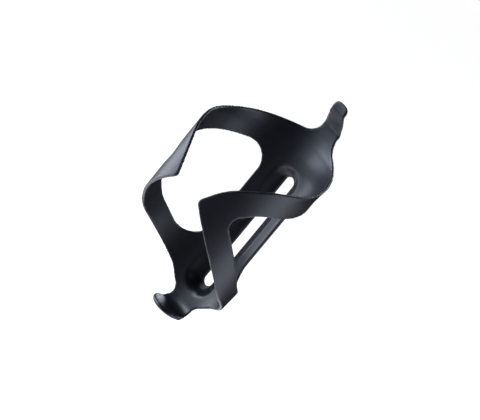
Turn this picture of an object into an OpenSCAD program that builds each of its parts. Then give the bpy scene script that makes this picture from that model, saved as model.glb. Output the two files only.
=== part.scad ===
// One-piece moulded water bottle cage.
// Row frame: Z runs up along the bottle's axis, the open front looks along -Y, and the mounting face
// lies in the plane y = 0 with the middle of the bolt slot at the origin. All sizes are in millimetres.
// The shell is a surface of revolution about the bottle's axis. Its outlines are drawn on that surface:
// an angle in degrees round the axis, 0 at the spine and 180 at the open front, and a height z.

/* [Bottle seat and shell] */
// Radius of the seat that the bottle stands in
seat_r = 37; // [35:0.1:38.5]
// Thickness of the moulded wall
wall_t = 1.9; // [1.5:0.1:2.6]
// Distance from the mounting face to the seat's nearest line
standoff = 6; // [5.5:0.1:9]
// How far the upper rim flares away from the bottle
rim_flare = 3.2; // [0:0.1:3.6]
// Height at which the upper rim starts to flare
flare_z = 50; // [44:0.5:52]
// Height over which it flares
flare_run = 16; // [10:0.5:20]
// How far the base is tucked in under the bottle's side
base_tuck = 2.6; // [0:0.1:4]
// Height below which the base is tucked in
tuck_z = -18; // [-24:0.5:-12]

/* [Spine, channel and bolt slot] */
// Half width of the spine between the two side windows
spine_half_w = 17.5; // [15:0.1:19]
// Half width of the channel's mouth
channel_mouth_half = 9.3; // [8.5:0.1:11]
// Half width of the channel's flat floor
channel_floor_half = 5.6; // [5:0.1:7]
// Thickness of the channel's floor, which the bolts clamp
floor_t = 2; // [1.6:0.1:3]
// Width of the bolt slot
slot_w = 7; // [5.5:0.1:8]
// Length of the bolt slot from end to end
slot_len = 82; // [76:0.5:90]

/* [Upper wing and arm outline] */
// Height of the wing's rim beside the top tab
wing_z = 68.6; // [66:0.1:71]
// Height of the upper rim at the bottle's side
rim_side_z = 54.9; // [54:0.1:57]
// Height of the upper rim where it starts to turn down
rim_bend_z = 49.1; // [47:0.1:52]
// Height of the rim half way down to the front corner
rim_drop_z = 36; // [33:0.1:38]
// Height of the front corner's tip
tip_z = 18.6; // [15:0.1:20]
// Angle round the bottle of the front corner's tip
tip_angle = 165; // [160:0.5:168]
// Rounding of the front corner's tip
tip_round = 3.4; // [2:0.1:5]
// Rounding of the upper rim's gentle bends
rim_round = 50; // [40:1:60]
// Rounding of the rim where the tab rises from it
tab_foot_round = 9; // [7:0.5:10]

/* [Lower arm and base outline] */
// Height of the lower edge where it bends
lower_bend_z = -22.5; // [-24:0.1:-17]
// Height of the lower edge beside the base
base_edge_z = -43.3; // [-45:0.1:-38]
// Half width of the neck above the bottom lip
neck_half_w = 9; // [8:0.1:10.5]
// Height from the base's edge down to the neck
neck_drop = 9.7; // [8:0.1:11]
// Rounding of the lower edge's gentle bend
lower_round = 50; // [40:1:60]
// Rounding of the base's corner
base_round = 14; // [10:0.5:15]
// Rounding where the base runs into the neck
neck_round = 8; // [6:0.5:9]

/* [Side window] */
// Height of the window's upper corner at the spine
window_top_z = 46.9; // [44:0.1:49]
// Height of the window's upper edge where it turns to the front
window_turn_z = 33; // [31:0.1:36]
// Height of the window's front corner
window_front_z = 21; // [18:0.1:24]
// Angle round the bottle of the window's front corner
window_front_angle = 136.5; // [132:0.5:140]
// Height of the window's lower corner at the spine
window_bottom_z = -24.3; // [-28:0.1:-22]
// Rounding of the window's two corners at the spine
window_round = 12; // [8:0.5:13]
// Rounding of the window's front corner
window_front_round = 7; // [5:0.5:9]
// How far the window's lower edge climbs along the arm
window_climb = 12.6; // [10:0.1:14]

/* [Top tab] */
// Half width of the tab at its foot
tab_half_w = 7.2; // [6:0.1:8.5]
// Half width of the tab at its tip
tab_tip_half_w = 5.9; // [5:0.1:7]
// Rounding of the tab's two corners
tab_tip_round = 4; // [3:0.1:4.5]
// Height at which the tab starts to lean over the bottle
tab_lean_z = 80; // [77:0.5:83]
// Height of the tab's tip
tab_top_z = 95; // [92:0.5:98]
// How far the tab leans in over the bottle's shoulder
tab_lean = 7.2; // [4:0.1:9]

/* [Bottom lip] */
// Height at which the lip starts to turn forward under the bottle
lip_turn_z = -54; // [-56:0.5:-52]
// How far the lip's floor lies below that height
lip_drop = 6; // [5:0.1:7]
// Radius of the lip's round front
lip_r = 10.9; // [9.5:0.1:12]
// How far the round front's middle lies inside the seat
lip_inset = 10.8; // [9:0.1:13]
// Thickness of the lip's rolled front edge
lip_bead = 2.8; // [2:0.1:3.4]

/* [Hidden] */
carbon = [0.13, 0.13, 0.15];
carbon_light = [0.2, 0.2, 0.23];
axis_back = seat_r + standoff;
lip_centre = seat_r - lip_inset;
outer_r = seat_r + wall_t;
mid_r = seat_r + wall_t / 2;
slot_r = slot_w / 2;
end_z = slot_len / 2 - slot_r;
spine_angle = asin(spine_half_w / mid_r);
arm_start = 42;
corner_start = 128;
corner_end = tip_angle + 6;
corner_middle = (corner_start + corner_end) / 2;
flank_top = 0.64 * window_top_z;
flank_bottom = 0.41 * window_bottom_z;
tab_foot = (wing_z + 2 * tab_lean_z) / 3;
lean_run = 0.8 * (tab_top_z - tab_tip_round - tab_lean_z);
far = tab_top_z;

// Node to draw, or all of them

// One corner of an outline rounded to an arc. Angles become lengths on the middle of the wall.
function arc_point(p) = [p[0] * mid_r * PI / 180, p[1]];
function angle_point(p) = [p[0] * 180 / PI / mid_r, p[1]];
function unit(v) = v / norm(v);
function rounded(a, b, c, r, n) =
    let (u = unit(a - b), v = unit(c - b), half = acos(u * v) / 2)
    let (reach = r / tan(half), mid = b + unit(u + v) * r / sin(half))
    let (s = b + u * reach - mid, e = b + v * reach - mid)
    [for (i = [0 : n]) mid + r * unit(s * (1 - i / n) + e * i / n)];

// A closed outline [angle, z, rounding] with every rounded corner drawn as an arc.
function smooth_outline(k, n) = [
    for (i = [0 : len(k) - 1])
        let (a = k[(i + len(k) - 1) % len(k)], b = k[i], c = k[(i + 1) % len(k)])
        if (b[2] == 0) [b[0], b[1]]
        else for (q = rounded(arc_point(a), arc_point(b), arc_point(c), b[2], n)) angle_point(q)
];

// Shape of the seat down the bottle: its radius at height z.
function ease(t) = let (c = min(1, max(0, t))) c * c * (3 - 2 * c);
function seat(z) =
    seat_r + rim_flare * ease((z - flare_z) / flare_run) - base_tuck * max(0, (z - tuck_z) / (lip_turn_z - tuck_z));

// Radius of the wall's middle at height z, and the angle at which a half width x lies there.
function wall_r(z) = seat(z) + wall_t / 2;
function at_x(x, z) = asin(x / wall_r(z));

// Outer outline of one half of the cage, from the tab round the arm to the neck.
rim_outline = smooth_outline([
    [0, far, 0],
    [at_x(tab_half_w, tab_foot), far, 0],
    [at_x(tab_half_w, tab_foot), wing_z + wall_t / 2, tab_foot_round],
    [80, rim_side_z, rim_round],
    [118, rim_bend_z, rim_round],
    [150, rim_drop_z, 0.8 * rim_round],
    [tip_angle, tip_z, tip_round],
    [94, lower_bend_z, lower_round],
    [33, base_edge_z, base_round],
    [at_x(neck_half_w, lip_turn_z), base_edge_z - neck_drop, neck_round],
    [at_x(neck_half_w, lip_turn_z), -far, 0],
    [0, -far, 0]
], 7);

// Outline of one side window.
window_outline = smooth_outline([
    [spine_angle, window_top_z, window_round],
    [116, window_turn_z, 3 * window_front_round],
    [window_front_angle, window_front_z, window_front_round],
    [82, window_bottom_z + window_climb, 0.9 * lower_round],
    [spine_angle + 25, window_bottom_z + window_climb / 12, window_round],
    [spine_angle, window_bottom_z, window_round]
], 7);

seat_heights = concat([lip_turn_z, tuck_z], [for (k = [0, 0.3, 0.7, 1]) flare_z + k * flare_run], [tab_foot]);

module about_axis() {
    translate([0, -axis_back, 0])
        children();
}

// The wall turned about the bottle's axis.
module shell() {
    about_axis()
        rotate_extrude($fn = 180)
            polygon(concat(
                [for (z = seat_heights) [seat(z), z]],
                [for (i = [len(seat_heights) - 1 : -1 : 0]) [seat(seat_heights[i]) + wall_t, seat_heights[i]]]
            ));
}

// What the seat encloses.
module seat_space() {
    about_axis()
        rotate_extrude($fn = 180)
            polygon(concat([for (z = seat_heights) [seat(z), z]], [[0, tab_foot], [0, lip_turn_z]]));
}

// Wedge round the bottle's axis between two angles.
module wedge(a, b) {
    m = (a + b) / 2;
    about_axis()
        translate([0, 0, -far])
            linear_extrude(height = 2 * far)
                polygon([[0, 0], far * [sin(a), cos(a)], 1.4 * far * [sin(m), cos(m)], far * [sin(b), cos(b)]]);
}

// Points added along an outline, so that none are more than 5 degrees apart.
function stepped(points) = [
    for (i = [0 : len(points) - 1])
        let (p = points[i], q = points[(i + 1) % len(points)], n = ceil(abs(q[0] - p[0]) / 5 + 0.01))
        for (j = [0 : n - 1]) p + (q - p) * j / n
];

// An outline seen along the direction of angle m, kept between two angles.
function seen(points, m, a, b) =
    let (q = [for (p = stepped(points)) [wall_r(p[1]) * sin(max(a, min(b, p[0])) - m), p[1]]])
    [for (i = [0 : len(q) - 1]) if (norm(q[i] - q[(i + 1) % len(q)]) > 0.01) q[i]];

// A flat outline pushed through the wall at angle m, from one radius to another.
module through_wall(points, m, r0, r1) {
    about_axis()
        rotate([0, 0, -m])
            translate([0, r1, 0])
                rotate([90, 0, 0])
                    linear_extrude(height = r1 - r0)
                        polygon(points);
}

// The part of the wall between two angles, cut square to it.
module stretch(a, b) {
    m = (a + b) / 2;
    difference() {
        intersection() {
            children();
            wedge(a, b);
            through_wall(seen(rim_outline, m, a - 9, b + 9), m, seat_r - 12, seat_r + 12);
        }
        through_wall(seen(window_outline, m, a - 14, b + 14), m, seat_r - 16, seat_r + 16);
    }
}

// The plain round wall of the arms.
module tube() {
    about_axis()
        translate([0, 0, -far])
            difference() {
                cylinder(r = outer_r, h = 2 * far, $fn = 180);
                cylinder(r = seat_r, h = 2 * far, $fn = 180);
            }
}

module slab(z0, z1) {
    translate([-far, -2 * far, z0])
        cube([2 * far, 3 * far, z1 - z0]);
}

// Rounded-end shape along the slot with sloped sides: half width h0 at depth y0 and h1 at depth y1.
module tapered_slot(h0, y0, h1, y1) {
    for (z = [-end_z, end_z])
        translate([0, y0, z])
            rotate([-90, 0, 0])
                cylinder(r1 = h0, r2 = h1, h = y1 - y0, $fn = 96);
    translate([0, 0, -end_z])
        linear_extrude(height = 2 * end_z)
            polygon([[-h0, y0], [h0, y0], [h1, y1], [-h1, y1]]);
}

mouth_y = -axis_back + sqrt(seat_r * seat_r - channel_mouth_half * channel_mouth_half);
slope = (channel_mouth_half - channel_floor_half) / (-floor_t - mouth_y);
function channel_half(y) = channel_floor_half + slope * (-floor_t - y);
wall_side = wall_t * sqrt(1 + slope * slope);
deep_y = -13;

module channel_outside() {
    tapered_slot(channel_half(deep_y) + wall_side, deep_y, channel_half(0) + wall_side, 0);
}

module channel_floor() {
    color(carbon_light)
        difference() {
            intersection() {
                channel_outside();
                translate([-far, -floor_t, -far])
                    cube([2 * far, floor_t, 2 * far]);
            }
            tapered_slot(slot_r, -floor_t - 1, slot_r, 1);
        }
}

module channel_wall() {
    color(carbon)
        difference() {
            channel_outside();
            tapered_slot(channel_half(deep_y), deep_y, channel_half(0), 0);
            translate([-far, -floor_t, -far])
                cube([2 * far, floor_t + 1, 2 * far]);
            seat_space();
        }
}

// Half of the back of the cage between the spine's middle and the arms.
module half_back(a, b, z0, z1) {
    difference() {
        intersection() {
            stretch(a, b)
                shell();
            slab(z0, z1);
        }
        channel_outside();
    }
}

module mirrored(side) {
    if (side < 0)
        mirror([1, 0, 0])
            children();
    else
        children();
}

module spine_flank(side) {
    color(carbon)
        mirrored(side)
            half_back(0, 30, flank_bottom, flank_top);
}

// The middle of the back, both sides of the spine at once.
module centre_panel(z0, z1) {
    half = [for (p = seen(rim_outline, 0, 0, spine_angle + 9)) if (p[0] > 0.01) p];
    color(carbon)
        difference() {
            intersection() {
                shell();
                wedge(-spine_angle, spine_angle);
                through_wall(concat(half, [for (i = [len(half) - 1 : -1 : 0]) [-half[i][0], half[i][1]]]), 0, seat_r - 12, seat_r + 12);
                slab(z0, z1);
            }
            channel_outside();
        }
}

module wing_panel() {
    centre_panel(flank_top, tab_foot);
}

module wing(side) {
    color(carbon)
        mirrored(side)
            half_back(spine_angle, arm_start, flank_top, tab_foot);
}

module base_panel() {
    centre_panel(lip_turn_z, flank_bottom);
}

module base_side(side) {
    color(carbon)
        mirrored(side)
            half_back(spine_angle, arm_start, lip_turn_z, flank_bottom);
}

arm_step = (corner_start - arm_start) / 3;
lap = 0.2; // degrees by which the pieces of one arm run into each other

module upper_arm(side) {
    color(carbon_light)
        mirrored(side)
            for (i = [0 : 2])
                intersection() {
                    stretch(arm_start + i * arm_step, arm_start + (i + 1) * arm_step + (i < 2 ? lap : 0))
                        shell();
                    slab(window_front_z, far);
                }
}

module lower_arm(side) {
    color(carbon_light)
        mirrored(side)
            for (i = [0 : 2])
                intersection() {
                    stretch(arm_start + i * arm_step, arm_start + (i + 1) * arm_step + (i < 2 ? lap : 0))
                        shell();
                    slab(-far, window_front_z);
                }
}

module front_corner(side) {
    color(carbon)
        mirrored(side) {
            stretch(corner_start, corner_middle + lap)
                tube();
            stretch(corner_middle, corner_end)
                tube();
        }
}

// Front face of the tab as [radius, z] points, and of the lip.
tab_r = seat_r + rim_flare;
tab_path = concat(
    [[tab_r, tab_foot], [tab_r, (tab_foot + tab_lean_z) / 2]],
    [for (i = [0 : 8]) [tab_r - tab_lean * ease(i / 8), tab_lean_z + lean_run * i / 8]],
    [[tab_r - tab_lean, tab_top_z]]
);
neck_r = seat_r - base_tuck;
lip_path = concat(
    [[neck_r, lip_turn_z]],
    [for (i = [1 : 8]) [neck_r - lip_drop * (1 - cos(i * 11.25)), lip_turn_z - lip_drop * sin(i * 11.25)]],
    [[lip_centre - lip_r - 1, lip_turn_z - lip_drop]]
);

// A strip of even thickness behind a path.
function behind(path, t) = [
    for (i = [0 : len(path) - 1])
        let (d = unit(path[min(i + 1, len(path) - 1)] - path[max(i - 1, 0)]))
        path[i] + t * [abs(d[1]), d[1] > 0 ? -d[0] : d[0]]
];

module turned_strip(path, t) {
    back = behind(path, t);
    about_axis()
        rotate_extrude($fn = 180)
            polygon(concat(path, [for (i = [len(back) - 1 : -1 : 0]) back[i]]));
}

module top_tab() {
    color(carbon)
        intersection() {
            turned_strip(tab_path, wall_t + 0.3);
            rotate([90, 0, 0])
                linear_extrude(height = axis_back)
                    union() {
                        polygon([
                            [-tab_half_w, tab_foot], [tab_half_w, tab_foot],
                            [tab_half_w, tab_lean_z], [tab_tip_half_w, tab_lean_z + lean_run],
                            [tab_tip_half_w, tab_top_z - tab_tip_round], [-tab_tip_half_w, tab_top_z - tab_tip_round],
                            [-tab_tip_half_w, tab_lean_z + lean_run], [-tab_half_w, tab_lean_z]
                        ]);
                        for (x = [-1, 1])
                            translate([x * (tab_tip_half_w - tab_tip_round), tab_top_z - tab_tip_round])
                                circle(r = tab_tip_round, $fn = 48);
                        translate([-tab_tip_half_w + tab_tip_round, tab_top_z - 2 * tab_tip_round])
                            square([2 * (tab_tip_half_w - tab_tip_round), 2 * tab_tip_round]);
                    }
        }
}

// The rolled edge round the front of the lip.
module bead() {
    translate([0, lip_centre - axis_back, lip_turn_z - lip_drop - wall_t / 2 + 0.4])
        rotate([0, 0, 180])
            rotate_extrude(angle = 180, $fn = 120)
                translate([lip_r - lip_bead / 2, 0])
                    circle(r = lip_bead / 2, $fn = 32);
}

module bottom_lip() {
    color(carbon)
        difference() {
            intersection() {
                turned_strip(lip_path, wall_t);
                translate([0, lip_centre - axis_back, -far])
                    linear_extrude(height = far)
                        polygon(concat(
                            [[-lip_r, 0], [-neck_half_w, neck_r - lip_centre], [-neck_half_w, axis_back - lip_centre]],
                            [[neck_half_w, axis_back - lip_centre], [neck_half_w, neck_r - lip_centre], [lip_r, 0]],
                            [for (a = [0 : 10 : 180]) (lip_r - lip_bead / 2) * [cos(a), -sin(a)]]
                        ));
            }
            bead();
        }
}

module lip_bead() {
    color(carbon_light)
        bead();
}

channel_floor();
channel_wall();
spine_flank(-1);  // spine_flank_left
spine_flank(1);  // spine_flank_right
wing_panel();
wing(-1);  // wing_left
wing(1);  // wing_right
top_tab();
upper_arm(-1);  // upper_arm_left
upper_arm(1);  // upper_arm_right
front_corner(-1);  // front_corner_left
front_corner(1);  // front_corner_right
lower_arm(-1);  // lower_arm_left
lower_arm(1);  // lower_arm_right
base_panel();
base_side(-1);  // base_left
base_side(1);  // base_right
bottom_lip();
lip_bead();
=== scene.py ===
import math

import bmesh
import bpy
from mathutils import Matrix, Vector


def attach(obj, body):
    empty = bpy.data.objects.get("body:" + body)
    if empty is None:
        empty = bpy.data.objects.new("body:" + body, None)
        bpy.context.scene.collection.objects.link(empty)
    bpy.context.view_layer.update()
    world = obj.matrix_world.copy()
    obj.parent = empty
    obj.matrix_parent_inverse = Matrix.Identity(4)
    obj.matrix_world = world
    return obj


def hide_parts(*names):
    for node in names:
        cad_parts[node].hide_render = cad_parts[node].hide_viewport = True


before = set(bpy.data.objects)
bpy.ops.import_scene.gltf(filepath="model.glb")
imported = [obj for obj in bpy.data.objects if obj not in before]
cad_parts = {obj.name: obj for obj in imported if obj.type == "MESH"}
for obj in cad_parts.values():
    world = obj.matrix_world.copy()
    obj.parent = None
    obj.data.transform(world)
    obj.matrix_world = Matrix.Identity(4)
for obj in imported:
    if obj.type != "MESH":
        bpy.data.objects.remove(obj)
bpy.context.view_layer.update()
mm = 0.001

seat = {  # the turned shape of the moulding, in millimetres, as in the part's source
    "axisY": -43.0,
    "radius": 37.0,
    "wall": 1.9,
    "flare": 3.2,
    "flareHeights": (50.0, 66.0),
    "tuck": 2.6,
    "tuckHeights": (-18.0, -54.0),
}

print("stage: camera")
view = {
    "azimuth": 31.611,
    "elevation": 17.600,
    "roll": 39.496,
    "distance": 1.3796,
    "aim": (0.01266, -0.04407, 0.0205),
    "focalPixels": 2513.6,
    "frameWidth": 480,
    "sensorWidth": 36,
    "clipEnd": 50,
}


def aimCamera():
    az, el, roll = (math.radians(view[k]) for k in ("azimuth", "elevation", "roll"))
    back = Vector((math.sin(az) * math.cos(el), -math.cos(az) * math.cos(el), math.sin(el)))
    right = Vector((math.cos(az), math.sin(az), 0))
    up = back.cross(right)
    rolledRight = right * math.cos(roll) + up * math.sin(roll)
    rolledUp = up * math.cos(roll) - right * math.sin(roll)
    turn = Matrix((rolledRight, rolledUp, back)).transposed().to_4x4()
    data = bpy.data.cameras.new("photoCamera")
    data.sensor_width = view["sensorWidth"]
    data.lens = view["focalPixels"] / view["frameWidth"] * data.sensor_width
    data.clip_end = view["clipEnd"]
    camera = bpy.data.objects.new("photoCamera", data)
    camera.matrix_world = Matrix.Translation(Vector(view["aim"]) + back * view["distance"]) @ turn
    bpy.context.scene.collection.objects.link(camera)
    bpy.context.scene.camera = camera


aimCamera()

print("stage: shell")
shell = {  # all lengths in millimetres
    "voxel": 0.60,
    "merge": 0.002,
    "rounds": 6,  # smoothing rounds, which round every free edge
    "step": 0.5,
    "giveBack": 0.5,  # share of what the rounding takes off an edge that is given back
    "wallWithin": 0.35,  # how far from the turned surface a point may lie and still count as wall
    "wallFacing": 0.93,  # how squarely it has to face the bottle's axis
    "wallHeights": (-54.0, 74.0),
    "mouthHalf": 9.3,  # half width of the channel's mouth
    "mouthEnd": 37.5,  # height at which its round ends start
    "mouthBand": 4.6,
    "mouthY": -11.0,  # the mouth lies behind this
    "mouthRounds": 27,
    "flareHeights": (47.0, 74.0),  # the skin opens out more gently than the part
    "stillRadius": 5.0,  # nearer to the axis than this the flare moves a point less
    "tabFrom": (74.0, 78.0),
    "tabRounds": 9,
    "tabLean": 7.2,
    "partLean": (80.0, 88.8),  # heights between which the part's tab leans in
    "skinLean": (77.0, 90.0),
    "faceHalf": 5.0,  # the tab's face, which is smoothed more than its edges
    "faceHeights": (71.0, 88.0),
    "faceRounds": 25,
}


def ease(t):
    c = min(1.0, max(0.0, t))
    return c * c * (3 - 2 * c)


def between(z, heights):
    # 0 up to the first height, 1 from the second on, and an S between them
    low, high = heights
    return ease((z - low) / (high - low))


def seatRadius(z):
    flare = seat["flare"] * between(z, seat["flareHeights"])
    top, bottom = seat["tuckHeights"]
    tuck = seat["tuck"] * min(1.0, max(0.0, (z - top) / (bottom - top)))
    return seat["radius"] + flare - tuck


def moulding():
    # every region of the moulding in one mesh, then one skin over them all
    bm = bmesh.new()
    for name in sorted(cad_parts):
        one = bmesh.new()
        one.from_mesh(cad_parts[name].data)
        bmesh.ops.remove_doubles(one, verts=one.verts, dist=shell["merge"] * mm)
        part = bpy.data.meshes.new("regionCopy")
        one.to_mesh(part)
        one.free()
        bm.from_mesh(part)
        bpy.data.meshes.remove(part)
    raw = bpy.data.meshes.new("cageRaw")
    bm.to_mesh(raw)
    bm.free()
    obj = bpy.data.objects.new("cageRaw", raw)
    bpy.context.scene.collection.objects.link(obj)
    remesh = obj.modifiers.new("skin", "REMESH")
    remesh.mode = "VOXEL"
    remesh.voxel_size = shell["voxel"] * mm
    remesh.adaptivity = 0
    skin = bpy.data.meshes.new_from_object(obj.evaluated_get(bpy.context.evaluated_depsgraph_get()))
    bpy.data.objects.remove(obj)
    return skin


def soften(bm, verts, rounds):
    axes = {"use_axis_x": True, "use_axis_y": True, "use_axis_z": True}
    for _ in range(rounds):
        bmesh.ops.smooth_vert(bm, verts=verts, factor=shell["step"], **axes)


def widen(v, k):
    # k times as far from the bottle's axis
    axis = seat["axisY"] * mm
    v.co.x *= k
    v.co.y = (v.co.y - axis) * k + axis


def wallMatch(v):
    # how nearly a point lies on the inner or outer wall of the turned shape: 1 on it, 0 at an edge
    x, y, z = v.co / mm
    y -= seat["axisY"]
    r = math.hypot(x, y)
    facing = abs(v.normal.x * x + v.normal.y * y) / max(r, 1e-6)
    low, high = shell["wallHeights"]
    if facing < shell["wallFacing"] or not low < z < high:
        return 0.0, r, r
    inner = seatRadius(z)
    target = min((inner, inner + seat["wall"]), key=lambda t: abs(t - r))
    return max(0.0, 1 - abs(r - target) / shell["wallWithin"]), r, target


def roundEdges(bm):
    # soft free edges, and true round walls between them
    before = [v.co.copy() for v in bm.verts]
    soften(bm, bm.verts, shell["rounds"])
    bm.normal_update()
    for v, old in zip(bm.verts, before):
        v.co += v.normal * max(0.0, (old - v.co).dot(v.normal)) * shell["giveBack"]
        match, r, target = wallMatch(v)
        if match > 0:
            widen(v, 1 + (target / r - 1) * match)


def fromMouth(v):
    # distance in millimetres from the line where the channel opens into the seat
    x, z = abs(v.co.x / mm), abs(v.co.z / mm)
    return abs(math.hypot(x, max(0.0, z - shell["mouthEnd"])) - shell["mouthHalf"])


def softenMouth(bm):
    mouth = [v for v in bm.verts if v.co.y > shell["mouthY"] * mm and fromMouth(v) < shell["mouthBand"]]
    soften(bm, mouth, shell["mouthRounds"])


def spreadFlare(bm):
    for v in bm.verts:
        z = v.co.z / mm
        wider = seat["flare"] * (between(z, shell["flareHeights"]) - between(z, seat["flareHeights"]))
        r = math.hypot(v.co.x / mm, v.co.y / mm - seat["axisY"])
        widen(v, 1 + wider / max(r, shell["stillRadius"]))


def bendTab(bm):
    # the tab's bend is drawn out into a longer S
    for low in shell["tabFrom"]:
        soften(bm, [v for v in bm.verts if v.co.z > low * mm], shell["tabRounds"])
    for v in bm.verts:
        z = v.co.z / mm
        v.co.y += shell["tabLean"] * mm * (between(z, shell["partLean"]) - between(z, shell["skinLean"]))
    low, high = (h * mm for h in shell["faceHeights"])
    face = [v for v in bm.verts if low < v.co.z < high and abs(v.co.x) < shell["faceHalf"] * mm]
    soften(bm, face, shell["faceRounds"])


def finishSkin(skin):
    bm = bmesh.new()
    bm.from_mesh(skin)
    roundEdges(bm)
    softenMouth(bm)
    spreadFlare(bm)
    bendTab(bm)
    bmesh.ops.recalc_face_normals(bm, faces=bm.faces)
    for f in bm.faces:
        f.smooth = True
    bm.to_mesh(skin)
    bm.free()


skin = moulding()
finishSkin(skin)
cageShell = bpy.data.objects.new("cageShell", skin)
bpy.context.scene.collection.objects.link(cageShell)
print("shell triangles", sum(len(p.vertices) - 2 for p in skin.polygons))
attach(cageShell, "root")
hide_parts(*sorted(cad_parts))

print("stage: carbon finish")
finish = {
    "resin": (0.0030, 0.0033, 0.0056),
    "fibre": (0.0070, 0.0076, 0.0122),
    "toneStops": (0.36, 0.64),  # where the mixed noise is all resin and all fibre
    # painted highlight: a lighter colour on convex edges stands in for the sheen that light lays along
    # them
    "edge": (0.012, 0.0132, 0.0205),
    "edgeMask": (0.56, 0.64),
    "roughness": 0.38,
    "roughnessSpread": 0.08,
    "specular": 0.5,
    "specularTint": (0.86, 0.92, 1.0),
    "streakStretch": (1, 1, 14),  # fibres run round the bottle, fine from top to bottom
    "streaks": {"Scale": 130.0, "Detail": 4.0, "Roughness": 0.6},
    "pools": {"Scale": 75.0, "Detail": 3.0, "Roughness": 0.5},
    "grain": {"Scale": 2600.0, "Detail": 2.0, "Roughness": 0.6},
    "streakShare": 0.6,  # of the tone, the rest is pools
    "grainHeight": 0.25,  # of the streaks' height
    "bump": {"Strength": 0.06, "Distance": 0.0004},
}


def carbonMaterial():
    mat = bpy.data.materials.new("satinCarbon")
    mat.use_nodes = True
    nodes, links = mat.node_tree.nodes, mat.node_tree.links
    nodes.clear()

    def add(kind, x, y, **values):
        n = nodes.new(kind)
        n.location = (x, y)
        for key, value in values.items():
            if key in n.inputs:
                n.inputs[key].default_value = value
            else:
                setattr(n, key, value)
        return n

    def join(a, out, b, into):
        links.new(a.outputs[out], b.inputs[into])

    where = add("ShaderNodeTexCoord", -1400, 0)
    along = add("ShaderNodeMapping", -1200, 200, Scale=finish["streakStretch"])
    join(where, "Object", along, "Vector")
    streaks = add("ShaderNodeTexNoise", -1000, 200, **finish["streaks"])
    join(along, "Vector", streaks, "Vector")
    pools = add("ShaderNodeTexNoise", -1000, -100, **finish["pools"])
    join(where, "Object", pools, "Vector")
    grain = add("ShaderNodeTexNoise", -1000, -400, **finish["grain"])
    join(where, "Object", grain, "Vector")
    both = add("ShaderNodeMath", -800, 100, operation="MULTIPLY_ADD")
    join(streaks, "Fac", both, 0)
    both.inputs[1].default_value = finish["streakShare"]
    rest = add("ShaderNodeMath", -900, -100, operation="MULTIPLY")
    rest.inputs[1].default_value = 1 - finish["streakShare"]
    join(pools, "Fac", rest, 0)
    join(rest, "Value", both, 2)
    tone = add("ShaderNodeValToRGB", -600, 100)
    for stop, at, colour in zip(tone.color_ramp.elements, finish["toneStops"], ("resin", "fibre")):
        stop.position = at
        stop.color = (*finish[colour], 1)
    join(both, "Value", tone, "Fac")
    # painted highlight: convex edges found by pointiness are lightened towards the edge colour, broken
    # up by the pools noise
    shape = add("ShaderNodeNewGeometry", -1000, 500)
    low, high = finish["edgeMask"]
    rim = add("ShaderNodeMapRange", -800, 500, **{"From Min": low, "From Max": high})
    join(shape, "Pointiness", rim, "Value")
    patchyEdgeSheen = add("ShaderNodeMath", -600, 500, operation="MULTIPLY")
    join(rim, "Result", patchyEdgeSheen, 0)
    join(pools, "Fac", patchyEdgeSheen, 1)
    paintedEdgeSheen = add("ShaderNodeMix", -400, 200, data_type="RGBA")
    join(patchyEdgeSheen, "Value", paintedEdgeSheen, "Factor")
    join(tone, "Color", paintedEdgeSheen, "A")
    paintedEdgeSheen.inputs["B"].default_value = (*finish["edge"], 1)
    spread = finish["roughnessSpread"] / 2
    limits = {"To Min": finish["roughness"] - spread, "To Max": finish["roughness"] + spread}
    rough = add("ShaderNodeMapRange", -400, -100, **limits)
    join(pools, "Fac", rough, "Value")
    height = add("ShaderNodeMath", -400, -350, operation="MULTIPLY_ADD")
    join(grain, "Fac", height, 0)
    height.inputs[1].default_value = finish["grainHeight"]
    join(streaks, "Fac", height, 2)
    bump = add("ShaderNodeBump", -200, -300, **finish["bump"])
    join(height, "Value", bump, "Height")
    skinShader = add("ShaderNodeBsdfPrincipled", 0, 0)
    skinShader.inputs["Specular IOR Level"].default_value = finish["specular"]
    skinShader.inputs["Specular Tint"].default_value = (*finish["specularTint"], 1)
    join(paintedEdgeSheen, "Result", skinShader, "Base Color")
    join(rough, "Result", skinShader, "Roughness")
    join(bump, "Normal", skinShader, "Normal")
    out = add("ShaderNodeOutputMaterial", 300, 0)
    join(skinShader, "BSDF", out, "Surface")
    return mat


cageShell.data.materials.append(carbonMaterial())

print("stage: floor and light")
studio = {
    "floorZ": -0.62,
    "floorRadius": 6.0,
    "floorColour": (0.86, 0.86, 0.86),
    "floorGlow": 0.97,
    "worldFill": (0.02, 0.02, 0.025),
    "cardColour": (0.01, 0.01, 0.01),
    "cardZ": -0.60,
    "mattRoughness": 0.9,
    # black cards just above the floor darken what the cage mirrors, and the camera doesn't see them
    "cards": [  # name, size, place, turn
        ("frontCard", (4.5, 3.2), (0.71, -2.19), 18.0),
        ("backCard", (3.4, 3.4), (-0.72, 2.30), 17.0),
    ],
    "lampColour": (0.82, 0.88, 1.0),
    "lampsAimAt": (0, seat["axisY"] * mm, 0.01),
    "lampsAway": 1.5,
    "lamps": [  # name, direction, size, watts
        ("leftLowBox", (-0.98, 0.00, -0.21), (0.9, 0.9), 8.0),
        ("leftFrontBox", (-0.81, -0.47, 0.34), (1.2, 1.2), 35),
        ("frontLowBox", (-0.49, -0.85, -0.21), (0.9, 0.9), 3.6),
        ("rightBox", (0.94, 0.00, 0.34), (0.9, 0.9), 10),
        ("rightBackLowBox", (0.92, 0.33, -0.21), (0.9, 0.9), 3.5),
        ("backLeftBox", (-0.47, 0.81, 0.30), (0.9, 0.7), 5.5),
        ("backTopBox", (0.05, 0.87, 0.48), (1.6, 0.9), 17),
    ],
}


def plainMaterial(name, colour):
    mat = bpy.data.materials.new(name)
    mat.use_nodes = True
    shader = mat.node_tree.nodes["Principled BSDF"]
    shader.inputs["Base Color"].default_value = (*colour, 1)
    shader.inputs["Roughness"].default_value = studio["mattRoughness"]
    shader.inputs["Specular IOR Level"].default_value = 0.0
    return mat, shader


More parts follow.
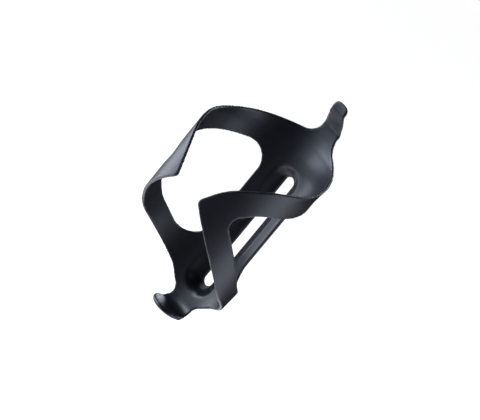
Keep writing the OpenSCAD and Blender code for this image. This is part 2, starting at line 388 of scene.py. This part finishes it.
def seenWhite(tree):
    # 1 for the rays that see the white background
    path = tree.nodes.new("ShaderNodeLightPath")
    total = path.outputs["Is Camera Ray"]
    for ray in ("Is Glossy Ray", "Is Transmission Ray"):
        either = tree.nodes.new("ShaderNodeMath")
        either.operation = "MAXIMUM"
        tree.links.new(total, either.inputs[0])
        tree.links.new(path.outputs[ray], either.inputs[1])
        total = either.outputs["Value"]
    return total


def stagePiece(name, bm, material):
    mesh = bpy.data.meshes.new(name)
    bm.to_mesh(mesh)
    bm.free()
    mesh.materials.append(material)
    obj = bpy.data.objects.new(name, mesh)
    bpy.context.scene.collection.objects.link(obj)
    return obj


def paleFloor():
    mat, shader = plainMaterial("paleFloor", studio["floorColour"])
    tree = mat.node_tree
    shader.inputs["Emission Color"].default_value = (1, 1, 1, 1)
    glow = tree.nodes.new("ShaderNodeMath")
    glow.operation = "MULTIPLY"
    glow.inputs[1].default_value = studio["floorGlow"]
    tree.links.new(seenWhite(tree), glow.inputs[0])
    tree.links.new(glow.outputs["Value"], shader.inputs["Emission Strength"])
    bm = bmesh.new()
    bmesh.ops.create_circle(bm, cap_ends=True, segments=96, radius=studio["floorRadius"])
    bmesh.ops.translate(bm, verts=bm.verts, vec=(0, 0, studio["floorZ"]))
    stagePiece("paleFloor", bm, mat)


def blackCard(name, size, place, turn, material):
    bm = bmesh.new()
    bmesh.ops.create_grid(bm, x_segments=1, y_segments=1, size=0.5)
    bmesh.ops.scale(bm, verts=bm.verts, vec=(*size, 1))
    bmesh.ops.rotate(bm, verts=bm.verts, matrix=Matrix.Rotation(math.radians(turn), 3, "Z"))
    bmesh.ops.translate(bm, verts=bm.verts, vec=(*place, studio["cardZ"]))
    card = stagePiece(name, bm, material)
    card.visible_camera = False
    card.visible_shadow = False


def studioWorld():
    world = bpy.data.worlds.new("studioWorld")
    bpy.context.scene.world = world
    world.use_nodes = True
    shader = world.node_tree.nodes["Background"]
    shader.inputs["Color"].default_value = (*studio["worldFill"], 1)
    shader.inputs["Strength"].default_value = 1.0


def softBox(name, direction, size, watts):
    data = bpy.data.lights.new(name, "AREA")
    data.shape = "RECTANGLE"
    data.size, data.size_y = size
    data.energy = watts
    data.color = studio["lampColour"]
    lamp = bpy.data.objects.new(name, data)
    towards = Vector(direction).normalized()
    lamp.location = Vector(studio["lampsAimAt"]) + towards * studio["lampsAway"]
    lamp.rotation_euler = (-towards).to_track_quat("-Z", "Y").to_euler()
    bpy.context.scene.collection.objects.link(lamp)


paleFloor()
cardBlack, _ = plainMaterial("cardBlack", studio["cardColour"])
for cardRow in studio["cards"]:
    blackCard(*cardRow, cardBlack)
studioWorld()
for lampRow in studio["lamps"]:
    softBox(*lampRow)
bpy.context.scene.view_settings.view_transform = "Standard"

print("stage: done")
